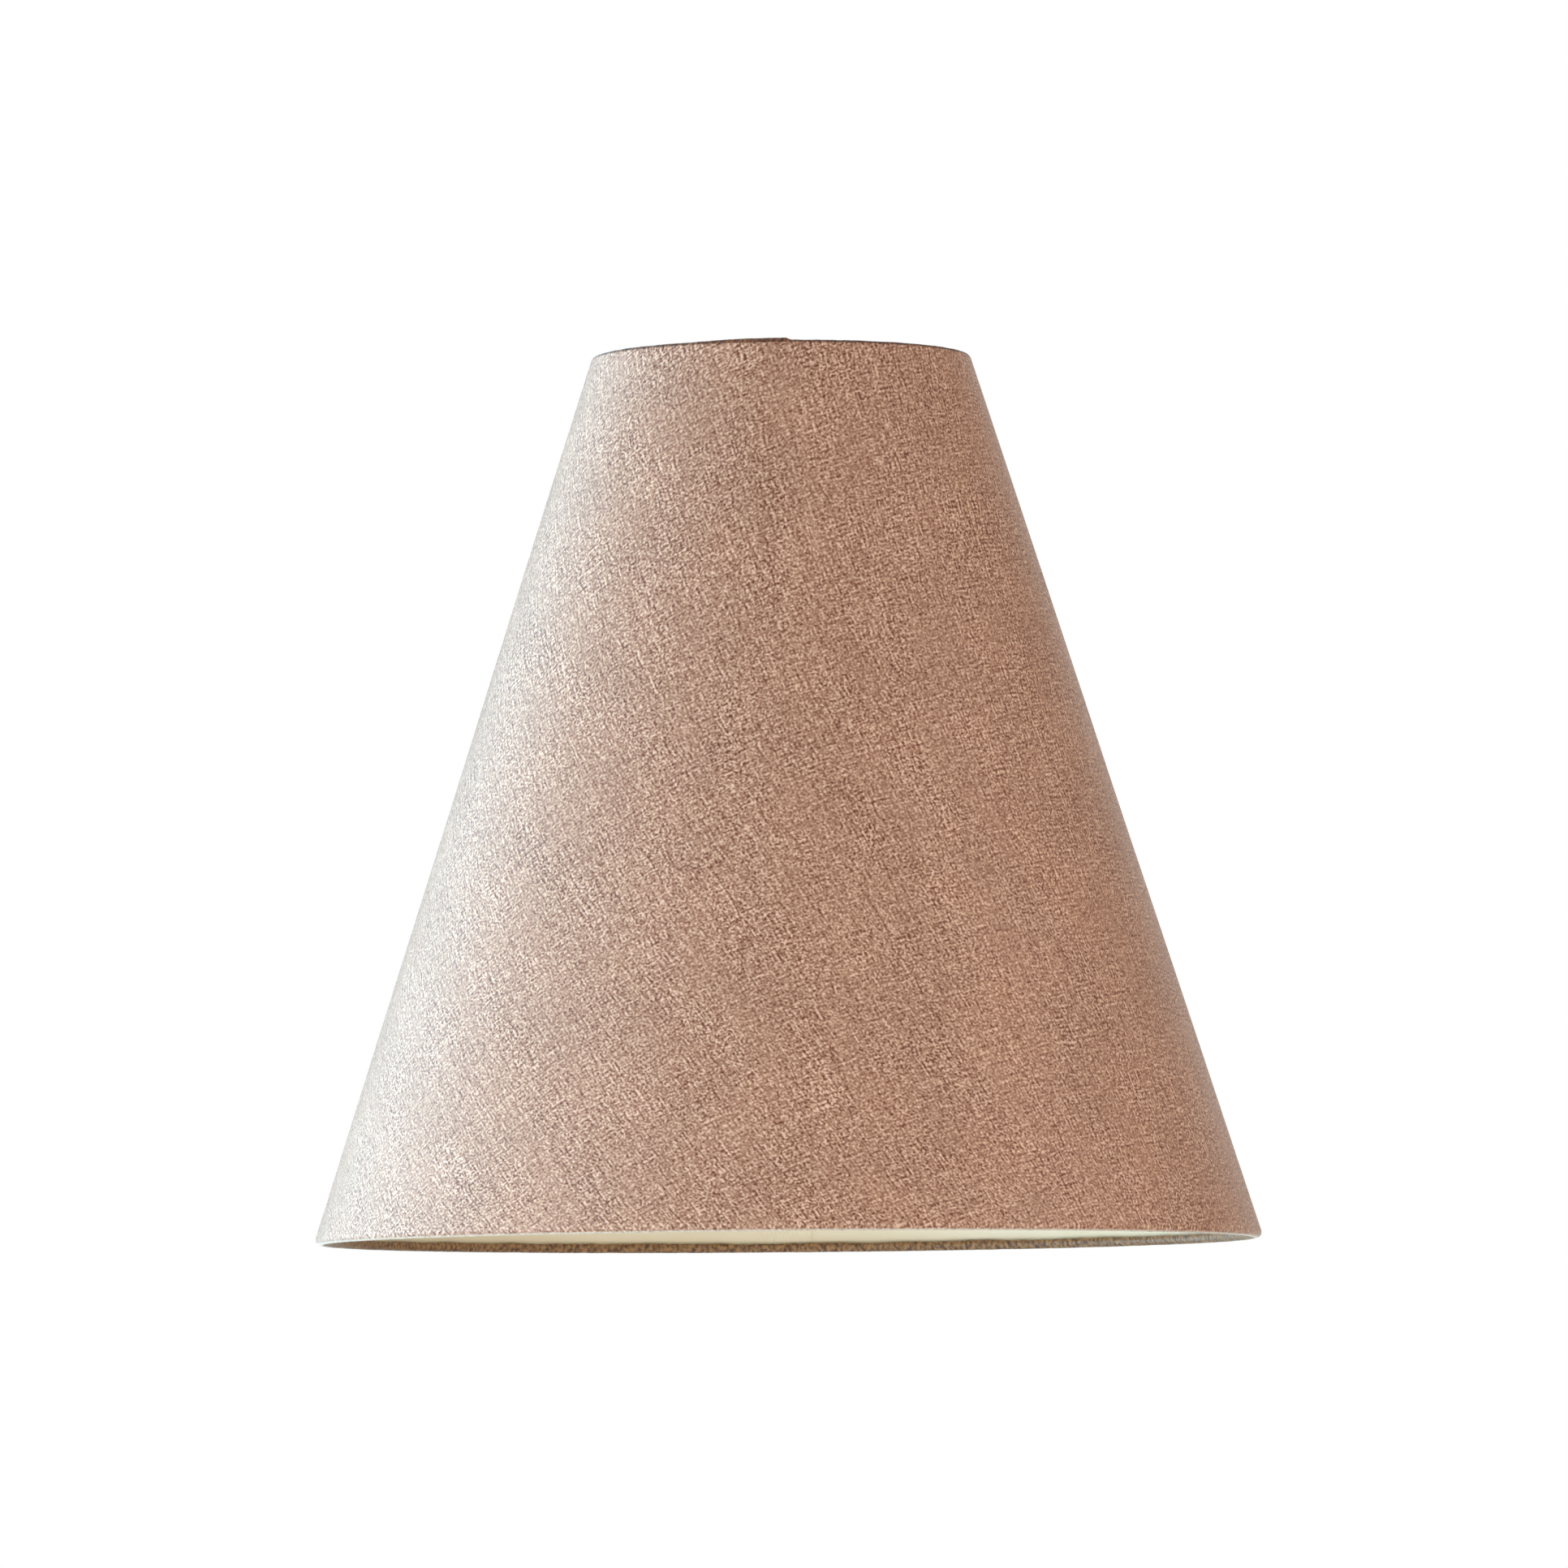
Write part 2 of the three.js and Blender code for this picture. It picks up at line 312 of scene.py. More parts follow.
TAPE_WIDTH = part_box("seam_tape")[1].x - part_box("seam_tape")[0].x
TAPE_THICKNESS = 0.00012
TAPE_GLUE = 0.00003
TAPE_DEPTH = CLOTH_THICKNESS + BACKING_THICKNESS + TAPE_GLUE
TAPE_END = 0.002
TAPE_WANDER = 0.0005
TAPE_LIFT = 0.00008
TAPE_COLUMNS = 20
TAPE_ROWS = 60


def tape_piece():
    """The tape keeps its width from the narrow rim to the wide one, so its angle shrinks downwards."""
    rows = []
    for i in range(TAPE_COLUMNS + 1):
        across = (i / TAPE_COLUMNS - 0.5) * TAPE_WIDTH
        edge = abs(across) / (TAPE_WIDTH / 2)
        ring = []
        for upwards, depth in ((True, TAPE_DEPTH), (False, TAPE_DEPTH + TAPE_THICKNESS)):
            for step in range(TAPE_ROWS + 1):
                along = step / TAPE_ROWS if upwards else 1 - step / TAPE_ROWS
                share = TAPE_END + (1 - 2 * TAPE_END) * along
                wander = TAPE_WANDER * edge * noise.noise(Vector((share * 9, math.copysign(3, across), 0)))
                lift = TAPE_LIFT * edge ** 6 * (1 + noise.noise(Vector((share * 30, across * 90, 5))))
                turn = BACK + (across + wander) / on_wall(BACK, share, depth).y
                ring.append(on_wall(turn, share, depth + lift))
        rows.append(ring)
    return skin("seam_tape_strip", rows, round_closed=True, ends_capped=True)


def jointing_tape():
    """Thin cream tape with long faint fibres, paler and a little duller than the rest of it."""
    w = Wiring("tape")
    place = w.node("TexCoord").outputs["Object"]
    lengthwise = w.node("Mapping", {"Scale": (1.0, 1.0, 0.06)})
    w.tree.links.new(place, lengthwise.inputs["Vector"])
    fibre = w.grain(lengthwise.outputs["Vector"], 2600.0, detail=2.0)
    tint = w.blend(w.stretch(fibre, 0.35, 0.7), (0.87, 0.76, 0.57, 1), (0.93, 0.84, 0.67, 1))
    w.feed(w.surface.inputs["Base Color"], tint)
    w.feed(w.surface.inputs["Roughness"], w.stretch(fibre, 0.3, 0.7, 0.5, 0.64))
    w.bump(fibre, 0.2, 0.00006)
    return w.material


tape = tape_piece()
tape.data.materials.append(jointing_tape())
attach(tape, "shade")
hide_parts("seam_tape")


# ------------------------------------------------------------------------------------------------
# The cover. One flat ring sector of slubbed linen, pressed onto the backing and wrapped once
# round, its last edge folded under and glued over the first at the back. The margins are rolled
# round the hoops and tucked in behind them, so each rim is a thin round roll of the same cloth.

# The wall, with the lap at the back and its folded end, both pressed flatter where they enter a hem.
WALL_ROWS = 56
WALL_RIPPLE = 0.00016
LAP_WIDTH = 0.010
LAP_CLIMB = 0.004
LAP_RISE = 0.00042
LAP_END_RISE = CLOTH_THICKNESS + 0.0001
LAP_LEAN = 0.3
FOLD_WIDTH = 0.005
FOLD_CLIMB = 0.0012
FOLD_RISE = 0.00020
HEM_PRESSED = 0.5

# The rolled hems, with a notch cut at each lug, and the join in the top one.
ROLL_STEPS = 18
PUCKER_PITCH = 260
PUCKER = 0.00007
FINE_PUCKER = 0.00005
TUCK_TURN = math.radians(219)
TUCK_WANDER = math.radians(16)
TUCK_RAGGED = math.radians(13)
NOTCH_TURN = math.radians(95)
NOTCH_FLARE = 0.0015
LUG_HALF_WIDTH = (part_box("pivot_lug_right")[1].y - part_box("pivot_lug_right")[0].y) / 2
JOIN_PAST_FRONT = 0.0022
JOIN_STEP = 0.0013
JOIN_THINS_FROM = 0.004
JOIN_THINS_TO = 0.030

# How far from the cone's point the wall's two ends lie on the flat cloth.
FLAT_BOTTOM = (BOTTOM_ROLL[0] + ROLL_RADIUS * COS_CONE) / SIN_CONE
FLAT_TOP = (TOP_ROLL[0] + ROLL_RADIUS * COS_CONE) / SIN_CONE


def smooth(value, low, high):
    """0 below low, 1 above high, and a smooth rise between."""
    share = min(max((value - low) / (high - low), 0.0), 1.0)
    return share * share * (3 - 2 * share)


def hem_noise(turn, pitch, seed):
    """Repeating noise round a rim, from -1 to 1."""
    return noise.noise(Vector((math.cos(turn) * pitch, math.sin(turn) * pitch, seed)))


def roll_section(turn, at_top):
    """(angle round the roll, radius of the roll) from the wall to the tucked end at one place."""
    pitch = PUCKER_PITCH * (TOP_RADIUS if at_top else BOTTOM_RADIUS)
    seed = 11.0 if at_top else 4.0
    start = CONE_ANGLE if at_top else -CONE_ANGLE
    tuck = TUCK_TURN + TUCK_WANDER * hem_noise(turn, pitch * 0.25, seed + 20)
    tuck += TUCK_RAGGED * hem_noise(turn, pitch * 1.6, seed + 30)
    join = 0.0
    if at_top:
        beside_lug = abs(math.sin(turn)) * TOP_RADIUS
        notch = 1 - smooth(beside_lug, LUG_HALF_WIDTH, LUG_HALF_WIDTH + NOTCH_FLARE)
        tuck += (NOTCH_TURN - tuck) * notch
        past_front = (turn - FRONT - 2 * math.pi) * TOP_RADIUS
        step = smooth(JOIN_PAST_FRONT - past_front, 0.0, JOIN_STEP)
        join = JOIN_RISE * step * (1 - smooth(-past_front, JOIN_THINS_FROM, JOIN_THINS_TO))
    section = []
    for i in range(ROLL_STEPS + 1):
        share = i / ROLL_STEPS
        around = start + (tuck - start) * share
        pucker = PUCKER * hem_noise(turn, pitch, seed)
        pucker += FINE_PUCKER * hem_noise(turn, pitch * 2.1, seed + share * 2)
        pucker += join * smooth(share, 0.05, 0.3)
        section.append((around, ROLL_RADIUS + pucker * smooth(share, 0.0, 0.3)))
    return section


def lap_rise(from_end):
    """How far the cloth stands off where it climbs on to the lap and where its end is folded under."""
    climb = smooth(LAP_WIDTH + LAP_CLIMB - from_end, 0.0, LAP_CLIMB)
    fold = smooth(FOLD_WIDTH + FOLD_CLIMB - from_end, 0.0, FOLD_CLIMB)
    return LAP_RISE * climb + FOLD_RISE * fold


def cover_rows():
    """Columns of points round the cone, each from the bottom tuck to the top tuck, with flat places."""
    columns = []
    flat_places = []
    for i in range(AROUND + 1):
        share_round = i / AROUND
        bottom_turn = BACK + share_round * (2 * math.pi + LAP_WIDTH / BOTTOM_RADIUS)
        top_turn = BACK + share_round * (2 * math.pi + LAP_WIDTH / TOP_RADIUS)
        column = []
        flat_column = []

        def place(turn, radius, height, slant, rise):
            from_end = (1 - share_round) * (2 * math.pi + LAP_WIDTH / radius) * radius
            stand = rise * lap_rise(from_end)
            if i == AROUND:
                stand = rise * LAP_END_RISE
            radius += stand * COS_CONE
            height += stand * SIN_CONE * LAP_LEAN
            column.append((radius * math.cos(turn), radius * math.sin(turn), height))
            lay = (turn - 2 * math.pi - FRONT) * SIN_CONE
            flat_column.append((slant * math.sin(lay), slant * math.cos(lay)))

        for around, reach in reversed(roll_section(bottom_turn, False)):
            radius = BOTTOM_ROLL[0] + reach * math.cos(around)
            height = BOTTOM_ROLL[1] - reach * math.sin(around)
            slant = FLAT_BOTTOM + ROLL_RADIUS * (around + CONE_ANGLE)
            place(bottom_turn, radius, max(height, 0.0), slant, HEM_PRESSED)
        for row in range(1, WALL_ROWS):
            share = row / WALL_ROWS
            turn = bottom_turn + (top_turn - bottom_turn) * share
            spot = on_wall(turn, share, 0.0)
            radius = math.hypot(spot.x, spot.y)
            ripple = noise.noise(Vector((spot.x * 22, spot.y * 22, spot.z * 13)))
            radius += WALL_RIPPLE * ripple * smooth(share, 0.0, 0.06) * smooth(1 - share, 0.0, 0.06)
            place(turn, radius, spot.z, FLAT_BOTTOM + (FLAT_TOP - FLAT_BOTTOM) * share, 1.0)
        for around, reach in roll_section(top_turn, True):
            radius = TOP_ROLL[0] + reach * math.cos(around)
            height = TOP_ROLL[1] + reach * math.sin(around)
            slant = FLAT_TOP - ROLL_RADIUS * (around - CONE_ANGLE)
            place(top_turn, radius, height, slant, HEM_PRESSED)
        columns.append(column)
        flat_places.append(flat_column)
    return columns, flat_places


shaped_cloth, flat_cloth = cover_rows()
cover = skin("linen_cover", shaped_cloth)
cut_cloth = cover.data.uv_layers.new(name="cut_cloth")
flat_spots = [spot for column in flat_cloth for spot in column]
for loop in cover.data.loops:
    cut_cloth.data[loop.index].uv = flat_spots[loop.vertex_index]

# The cloth's thickness is added outside the cone's face.
thicken = cover.modifiers.new("cloth_thickness", "SOLIDIFY")
thicken.thickness = CLOTH_THICKNESS
thicken.offset = -1.0
thicken.use_even_offset = False

# The threads: how far apart they lie, and how they run on the flat cloth.
THREAD_PITCH = 0.0013
THREAD_JITTER = 1.2
THREAD_WANDER = 0.002
WEFT_ANGLE = math.radians(67.5)
WARP_ACROSS = 0.87
WARP_LEAN = 0.255
WARP_CURVE = 0.78
WARP_START = 0.18

# How much of the weave's height each of its marks makes, and how strongly that height shows.
WARP_RIB = 0.105
WEFT_RIB = 0.08
CROSSING = 0.06
FLECK = 0.30
SLUB = 0.12
KNOT = 0.80
SMALL_KNOT = 0.56
THICK_THREAD = 0.07
PATCHES = 0.7
HALF_HEIGHT = 0.5
WEAVE_BUMP = 0.36
WEAVE_DEPTH = 0.0004

# The dyed linen from its shaded gaps to its lit high threads, and the margins, by degrees round the roll.
# The gaps' darkness is painted shade and the high threads' paleness is painted highlight.
LINEN_GAP_SHADED = (0.15, 0.028, 0.008, 1)
LINEN_BODY = (0.427, 0.232, 0.150, 1)
LINEN_HIGH_LIT = (0.84, 0.58, 0.44, 1)
# Painted highlight with some wear: the bottom roll is paler from this far round, where floor light catches
# its underside.
LIT_RUBBED_FROM = 38
LIT_RUBBED_THREAD = (0.86, 0.74, 0.60, 1)
# Painted shade with some glue staining: the bottom roll is darker from its lowest point into its tuck, and
# the top roll from its shoulder over the crown.
BOTTOM_SHADE_GLUE_FROM = 86
TOP_SHADE_GLUE_FROM = 22
SHADE_GLUE_DARK = (0.13, 0.06, 0.02, 1)
SHADE_GLUE_THIN = (0.42, 0.26, 0.12, 1)


def linen():
    """Slubbed plain weave, with painted shade and highlight in its colour. The threads are laid out on the
    flat cloth, so they turn round the cone.
    """
    w = Wiring("linen")
    flat = w.node("UVMap", uv_map="cut_cloth").outputs["UV"]
    apart = w.node("SeparateXYZ", {"Vector": flat})
    x, y = apart.outputs["X"], apart.outputs["Y"]
    below = w.maths("SUBTRACT", y, WARP_START)
    curve = w.maths("MULTIPLY", w.maths("MULTIPLY", below, below), WARP_CURVE)
    bend = w.maths("ADD", w.maths("MULTIPLY", y, WARP_LEAN), curve)
    warp_place = w.maths("SUBTRACT", bend, w.maths("MULTIPLY", x, WARP_ACROSS))
    weft_x = w.maths("MULTIPLY", x, math.cos(WEFT_ANGLE))
    weft_y = w.maths("MULTIPLY", y, math.sin(WEFT_ANGLE))
    weft_place = w.maths("ADD", weft_x, weft_y)
    wander = w.node("TexNoise", {"Vector": flat, "Scale": 28.0, "Detail": 2.0})
    stray = w.node("SeparateXYZ", {"Vector": wander.outputs["Color"]})
    warp_place = w.maths("MULTIPLY_ADD", stray.outputs["X"], THREAD_WANDER, warp_place)
    weft_place = w.maths("MULTIPLY_ADD", stray.outputs["Y"], THREAD_WANDER, weft_place)
    warp = w.maths("DIVIDE", warp_place, THREAD_PITCH)
    weft = w.maths("DIVIDE", weft_place, THREAD_PITCH)

    def total(*parts):
        """The sum of values, each by its own weight."""
        made = 0.0
        for value, weight in parts:
            made = w.maths("MULTIPLY_ADD", value, weight, made)
        return made

    def flecks(across, along, stretch, start, scale):
        """Dashes that run with a set of threads, where each thread goes over, swells or thins."""
        along = w.maths("MULTIPLY_ADD", along, stretch, start)
        made = w.node("TexNoise", {"Scale": scale, "Detail": 0.0}, noise_dimensions="2D")
        w.feed(made.inputs["Vector"], w.node("CombineXYZ", {"X": across, "Y": along}).outputs[0])
        return w.maths("SUBTRACT", made.outputs["Fac"], 0.5)

    def ribs(number):
        """The round backs of a set of threads."""
        return w.maths("COSINE", w.maths("MULTIPLY", number, 2 * math.pi))

    warp_stray = flecks(warp, weft, 0.4, 130.0, 0.45)
    weft_stray = flecks(weft, warp, 0.4, 180.0, 0.45)
    warp_rib = ribs(w.maths("MULTIPLY_ADD", warp_stray, THREAD_JITTER, warp))
    weft_rib = ribs(w.maths("MULTIPLY_ADD", weft_stray, THREAD_JITTER, weft))
    warp_over = total((flecks(warp, weft, 0.35, 30.0, 0.8), 5.0), (1.0, 0.35))
    weft_over = total((flecks(weft, warp, 0.35, 80.0, 0.8), 5.0), (1.0, 0.30))
    warp_float = w.maths("MULTIPLY", warp_rib, warp_over)
    weft_float = w.maths("MULTIPLY", weft_rib, weft_over)
    height = total(
        (warp_float, WARP_RIB),
        (weft_float, WEFT_RIB),
        (w.maths("MULTIPLY", warp_rib, weft_rib), CROSSING),
        (flecks(warp, weft, 0.26, 330.0, 1.8), FLECK),
        (flecks(weft, warp, 0.26, 380.0, 1.8), FLECK),
        (flecks(warp, weft, 0.05, 630.0, 1.3), SLUB),
        (flecks(weft, warp, 0.05, 680.0, 1.3), SLUB),
        (flecks(warp, weft, 1.00, 430.0, 1.8), KNOT),
        (flecks(warp, weft, 1.00, 530.0, 2.5), SMALL_KNOT),
    )
    thick_thread = w.node("TexNoise", {"Scale": 1.0, "Detail": 0.0}, noise_dimensions="2D")
    drawn_out = w.maths("MULTIPLY_ADD", weft, 0.035, 830.0)
    thread_by_thread = w.node("CombineXYZ", {"X": w.maths("MULTIPLY", warp, 1.4), "Y": drawn_out})
    w.feed(thick_thread.inputs["Vector"], thread_by_thread.outputs[0])
    thick = w.stretch(thick_thread.outputs["Fac"], 0.66, 0.80)
    height = w.maths("MULTIPLY_ADD", thick, THICK_THREAD, height)
    patchy = total((flecks(warp, weft, 0.4, 730.0, 0.12), PATCHES), (1.0, 1.0))
    height = w.maths("MULTIPLY", height, patchy)
    # The ramp paints shade into the low places between threads and highlight onto the high ones, over
    # thread tone that varies at random.
    ramp = w.node("ValToRGB", {"Fac": w.maths("ADD", height, HALF_HEIGHT)})
    ramp.color_ramp.elements.new(0.5)
    stops = ((0.05, LINEN_GAP_SHADED), (0.5, LINEN_BODY), (0.95, LINEN_HIGH_LIT))
    for element, (position, colour) in zip(ramp.color_ramp.elements, stops):
        element.position = position
        element.color = colour
    dye_lot = w.stretch(w.grain(flat, 42.0, detail=3.0), 0.3, 0.7, 0.94, 1.06)
    tinted = w.node("VectorMath", {0: ramp.outputs["Color"], "Scale": dye_lot}, operation="SCALE")
    from_apex = w.node("VectorMath", {0: flat}, operation="LENGTH").outputs["Value"]

    def past(degrees_round, wide, at_top=False):
        """Rises from 0 to 1 where the cloth has gone so far round a roll, over a width of cloth."""
        turn = math.radians(degrees_round)
        if at_top:
            start = FLAT_TOP - ROLL_RADIUS * (turn - CONE_ANGLE)
            return w.stretch(from_apex, start, start - wide)
        start = FLAT_BOTTOM + ROLL_RADIUS * (turn + CONE_ANGLE)
        return w.stretch(from_apex, start, start + wide)

    ragged = w.stretch(w.grain(flat, 900.0), 0.35, 0.6)
    # Painted highlight with some rubbing on the bottom roll's underside.
    lit_rubbed = w.maths("MULTIPLY", past(LIT_RUBBED_FROM, 0.0004), w.maths("MULTIPLY_ADD", ragged, 0.4, 0.5))
    lit_rubbed_linen = w.blend(lit_rubbed, tinted.outputs["Vector"], LIT_RUBBED_THREAD)
    # Painted shade and glue stain over the bottom roll's underside and tuck, and over the top roll's crown
    # and tuck.
    shade_and_glue = w.maths("MAXIMUM", past(BOTTOM_SHADE_GLUE_FROM, 0.0006), past(TOP_SHADE_GLUE_FROM, 0.0004, at_top=True))
    shade_and_stain = w.blend(ragged, SHADE_GLUE_DARK, SHADE_GLUE_THIN)
    shaded_and_glued = w.node("VectorMath", {0: lit_rubbed_linen, 1: shade_and_stain}, operation="MULTIPLY").outputs["Vector"]
    w.feed(w.surface.inputs["Base Color"], w.blend(shade_and_glue, lit_rubbed_linen, shaded_and_glued))
    w.settle(Roughness=0.55, Specular_IOR_Level=0.7, Sheen_Weight=0.6, Sheen_Roughness=0.3)
    w.bump(height, WEAVE_BUMP, WEAVE_DEPTH)
    return w.material


cover.data.materials.append(linen())
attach(cover, "shade")
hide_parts("fabric_cover")


# ------------------------------------------------------------------------------------------------
# The pivot lugs. Two pressed steel strips in the same bright zinc as the hoops, rounded at their
# lower ends. Each is joggled outwards at its top, where it is spot-welded to the top hoop.

LUG_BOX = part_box("pivot_lug_right")
RIVET_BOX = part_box("pivot_rivet_right")
PIVOT_HEIGHT = (RIVET_BOX[0].z + RIVET_BOX[1].z) / 2
LUG_THICKNESS = LUG_BOX[1].x - LUG_BOX[0].x
LUG_FOOT = LUG_BOX[0].z
LUG_BELOW_RIM = 0.0018
LUG_TOP = HEIGHT - LUG_BELOW_RIM
LUG_EDGE = 0.0002
LUG_TIP_HALF = 0.0004
LUG_ROWS = 14
JOGGLE_FROM = PIVOT_HEIGHT + 0.0030
JOGGLE_TO = PIVOT_HEIGHT + 0.0056
WELD_BITE = 0.0001
HOOP_INNER_FACE = TOP_ROLL[0] - BACKING_THICKNESS / 2 - HOOP_WIRE / 2


def place_at_side(piece, side):
    """Turns a piece made for the +X side round to the other side."""
    if side < 0:
        piece.data.transform(Matrix.Rotation(math.pi, 4, "Z"))


def rounded_box_ring(centre_x, half_x, half_y, height, corner):
    """A level rounded rectangle of points."""
    ring = []
    corner = min(corner, half_x * 0.95, half_y * 0.95)
    for quarter in range(4):
        for step in range(5):
            turn = math.pi / 2 * (quarter + step / 4)
            x = (half_x - corner) * (1 if quarter in (0, 3) else -1) + corner * math.cos(turn)
            y = (half_y - corner) * (1 if quarter in (0, 1) else -1) + corner * math.sin(turn)
            ring.append(Vector((centre_x + x, y, height)))
    return ring


def pivot_lug(name, side):
    """A strip with a round foot below and a straight stem above, which steps out to meet the hoop."""
    rows = []
    middle = (LUG_BOX[0].x + LUG_BOX[1].x) / 2
    joggle = HOOP_INNER_FACE + WELD_BITE - LUG_BOX[1].x
    round_end = LUG_FOOT + LUG_HALF_WIDTH
    for i in range(2 * LUG_ROWS + 1):
        up_foot = 1 - math.cos(math.pi / 2 * min(i / LUG_ROWS, 1.0))
        up_stem = max(i - LUG_ROWS, 0) / LUG_ROWS
        height = LUG_FOOT + LUG_HALF_WIDTH * up_foot + (LUG_TOP - round_end) * up_stem
        half = max(LUG_HALF_WIDTH * math.sqrt(max(1 - (1 - up_foot) ** 2, 0.0)), LUG_TIP_HALF)
        shift = joggle * smooth(height, JOGGLE_FROM, JOGGLE_TO)
        rows.append(rounded_box_ring(middle + shift, LUG_THICKNESS / 2, half, height, LUG_EDGE))
    lug = skin(name + "_strip", rows, round_closed=True, ends_capped=True)
    place_at_side(lug, side)
    lug.data.materials.append(ZINC)
    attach(lug, "shade")
    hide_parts(name)


pivot_lug("pivot_lug_right", 1)
pivot_lug("pivot_lug_left", -1)


# ------------------------------------------------------------------------------------------------
# The pivot rivets. Each has a domed head outside its lug, a round shank for the arm's eye to turn
# on, and an end peened over inside the eye, a little flatter than the head.

RIVET_HEAD = (RIVET_BOX[1].y - RIVET_BOX[0].y) / 2
RIVET_SHANK = 0.0014
RIVET_DOME = 0.0010
RIVET_PEEN = 0.0009
PEEN_FLATNESS = 0.9
HEAD_UNDERCUT = 0.97
DOME_STEPS = 8


def turned(name, outline, axis="Z", sides=64):
    """A closed body turned round an axis from (radius, place along the axis) points."""
    rows = []
    for k in range(sides):
        turn = 2 * math.pi * k / sides
        out, over = math.cos(turn), math.sin(turn)
        if axis == "X":
            rows.append([Vector((along, radius * out, radius * over)) for radius, along in outline])
        else:
            rows.append([Vector((radius * out, radius * over, along)) for radius, along in outline])
    rows.append(rows[0])
    piece = skin(name, rows, round_closed=True)
    weld_doubles(piece)
    return piece


def rivet_steel():
    """Plain bright rivet steel, with the small dents that the peening tool leaves."""
    w = Wiring("rivet_steel")
    place = w.node("TexCoord").outputs["Object"]
    dents = w.grain(place, 1500.0, detail=2.0)
    w.feed(w.surface.inputs["Base Color"], w.blend(dents, (0.56, 0.56, 0.55, 1), (0.76, 0.76, 0.75, 1)))
    w.feed(w.surface.inputs["Roughness"], w.stretch(dents, 0.3, 0.7, 0.22, 0.42))
    w.settle(Metallic=1.0)
    w.bump(dents, 0.2, 0.0001)
    return w.material


RIVET_STEEL = rivet_steel()


def pivot_rivet(name, side):
    """The peened end, the shank and the domed head, turned in one piece."""
    outer, inner = RIVET_BOX[1].x, RIVET_BOX[0].x
    turns = [math.pi / 2 * i / DOME_STEPS for i in range(DOME_STEPS + 1)]
    outline = []
    for turn in turns:
        radius = max(RIVET_HEAD * math.sin(turn), 1e-6)
        outline.append((radius, inner + RIVET_PEEN * (1 - math.cos(turn)) * PEEN_FLATNESS))
    outline.append((RIVET_HEAD * HEAD_UNDERCUT, inner + RIVET_PEEN))
    outline.append((RIVET_SHANK, inner + RIVET_PEEN))
    outline.append((RIVET_SHANK, outer - RIVET_DOME))
    outline.append((RIVET_HEAD * HEAD_UNDERCUT, outer - RIVET_DOME))
    for turn in reversed(turns):
        radius = max(RIVET_HEAD * math.sin(turn), 1e-6)
        outline.append((radius, outer - RIVET_DOME * (1 - math.cos(turn))))
    rivet = turned(name + "_domed", outline, axis="X", sides=40)
    rivet.data.transform(Matrix.Translation((0, 0, PIVOT_HEIGHT)))
    place_at_side(rivet, side)
    rivet.data.materials.append(RIVET_STEEL)
    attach(rivet, "shade")
    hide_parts(name)


pivot_rivet("pivot_rivet_right", 1)
pivot_rivet("pivot_rivet_left", -1)


# ------------------------------------------------------------------------------------------------
# The utility ring and its arms, white-enamelled together after welding. The ring is a pressed
# steel washer with rounded edges. Each arm is one wire: it is welded flat on the ring, slants
# up and out, and is bent almost closed round its rivet in an eye.

RING_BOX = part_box("utility_ring")
ARM_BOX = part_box("gimbal_arm_right")
RING_HOLE = 0.021
RING_EDGE = 0.0004
RING_RIM = RING_BOX[1].x
RING_LOW = RING_BOX[0].z
RING_TOP = RING_BOX[1].z
ARM_WIRE = 0.0022
ARM_BITE = 0.0001
ARM_FOOT = RING_TOP + ARM_WIRE / 2 - ARM_BITE
EYE_PLAY = 0.0003
EYE_SIZE = RIVET_SHANK + EYE_PLAY + ARM_WIRE / 2
EYE_CLOSER = 0.00008
EYE_PLACE = ARM_BOX[1].x - ARM_WIRE / 2 + EYE_CLOSER
EYE_BEND = math.radians(318)
EYE_STEPS = 32


def white_enamel():
    """Stoved white enamel: slight orange peel, a warm cast where it is thin, and a few dust nibs."""
    w = Wiring("white_enamel")
    place = w.node("TexCoord").outputs["Object"]
    peel = w.grain(place, 700.0, detail=2.0)
    thin = w.stretch(w.grain(place, 120.0, detail=3.0), 0.4, 0.75)
    nibs = w.stretch(w.grain(place, 2600.0), 0.72, 0.78)
    colour = w.blend(thin, (0.86, 0.85, 0.82, 1), (0.78, 0.76, 0.70, 1))
    dusted = w.blend(w.maths("MULTIPLY", nibs, 0.4), colour, (0.5, 0.48, 0.44, 1))
    w.feed(w.surface.inputs["Base Color"], dusted)
    w.feed(w.surface.inputs["Roughness"], w.stretch(peel, 0.3, 0.7, 0.24, 0.38))
    w.settle(Coat_Weight=0.25, Coat_Roughness=0.15)
    w.bump(peel, 0.12, 0.0002)
    return w.material


ENAMEL = white_enamel()


def rounded_outline(corners, radius, steps=4):
    """A closed outline of (radius, height) corners, with each corner rounded."""
    outline = []
    count = len(corners)
    for i in range(count):
        here = Vector(corners[i])
        back = (Vector(corners[i - 1]) - here).normalized() * radius
        on = (Vector(corners[(i + 1) % count]) - here).normalized() * radius
        for step in range(steps + 1):
            share = step / steps
            spot = here + back * (1 - share) ** 2 + on * share ** 2
            outline.append((spot.x, spot.y))
    return outline


ring_outline = rounded_outline([
    (RING_HOLE, RING_LOW),
    (RING_RIM, RING_LOW),
    (RING_RIM, RING_TOP),
    (RING_HOLE, RING_TOP),
], RING_EDGE)
utility_ring = turned("utility_ring_washer", ring_outline, sides=96)
utility_ring.data.materials.append(ENAMEL)
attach(utility_ring, "gimbal")
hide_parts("utility_ring")


def smooth_route(points, steps=10):
    """A smooth path through points."""
    route = []
    for i in range(len(points) - 1):
        before = points[max(i - 1, 0)]
        start, end = points[i], points[i + 1]
        after = points[min(i + 2, len(points) - 1)]
        for step in range(steps):
            t = step / steps
            route.append(
                0.5 * (2 * start + (end - before) * t + (2 * before - 5 * start + 4 * end - after) * t ** 2
                       + (3 * start - before - 3 * end + after) * t ** 3)
            )
    route.append(points[-1])
    return route


